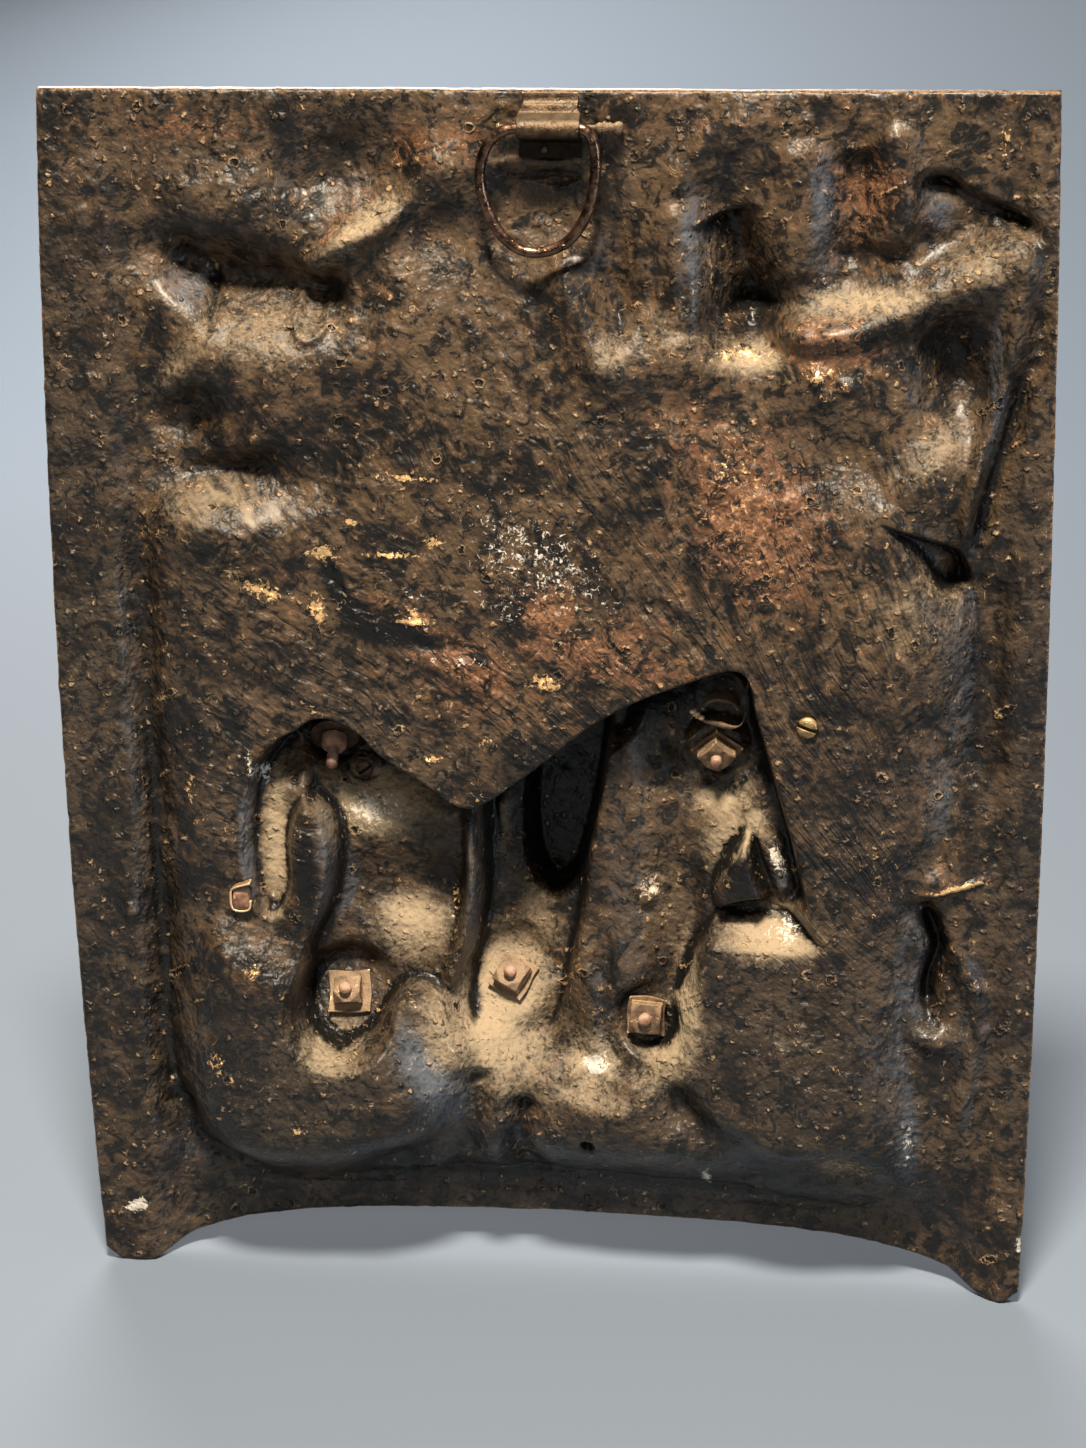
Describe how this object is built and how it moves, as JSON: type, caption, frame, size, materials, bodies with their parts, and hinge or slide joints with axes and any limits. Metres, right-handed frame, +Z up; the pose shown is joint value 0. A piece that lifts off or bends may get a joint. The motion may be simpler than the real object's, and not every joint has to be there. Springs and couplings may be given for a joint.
{
  "type": "relief plaque",
  "caption": "Cast metal relief plaque with a hollow back, bolted fixings, a bowed rim, an arched lower edge and a swinging ring to hang it by.",
  "frame": {"origin": "on the hanging ring's hinge line, behind the middle of the plaque's width, 11.6 mm below the top edge", "axes": "+Z up along the plaque's height, +X across its width to the right as its back is seen, +Y out of its front face, so the ring and the hollow back face -Y"},
  "size_m": [0.3474, 0.0633, 0.4369],
  "materials": {
    "dark_patina": "cast bronze under a dark brown-black patina with rust-red patches, dusty hollows and worn edges",
    "worn_brass": "worn brown brass strap with a golden edge",
    "copper_brown": "smooth copper-brown wire",
    "rusty_iron": "rusty iron",
    "tan_plate": "dull tan plated steel under dust",
    "bright_brass": "tarnished brass screw head"
  },
  "bodies": {
    "plaque": {"relief_panel": "dark_patina", "hanger_strap": "worn_brass", "hanger_pin": "rusty_iron", "lower_left_stud": "rusty_iron", "lower_left_washer": "tan_plate", "lower_left_nut": "tan_plate", "middle_stud": "rusty_iron", "middle_washer": "tan_plate", "middle_nut": "tan_plate", "lower_right_stud": "rusty_iron", "lower_right_washer": "tan_plate", "lower_right_nut": "tan_plate", "upper_right_stud": "rusty_iron", "upper_right_washer": "tan_plate", "upper_right_nut": "tan_plate", "upper_left_bolt": "rusty_iron", "upper_left_washer": "tan_plate", "brass_screw": "bright_brass", "shaded_screw": "bright_brass", "bent_strip": "rusty_iron", "tie_wire": "tan_plate", "clip": "tan_plate", "clip_rivet": "rusty_iron"},
    "ring": {"hanging_ring": "copper_brown"}
  },
  "joints": [
    {"name": "ring_hinge", "type": "hinge", "parent": "plaque", "child": "ring", "pos_m": [0, 0, 0], "axis": [-1, 0, 0], "range_deg": [0, 170]}
  ]
}
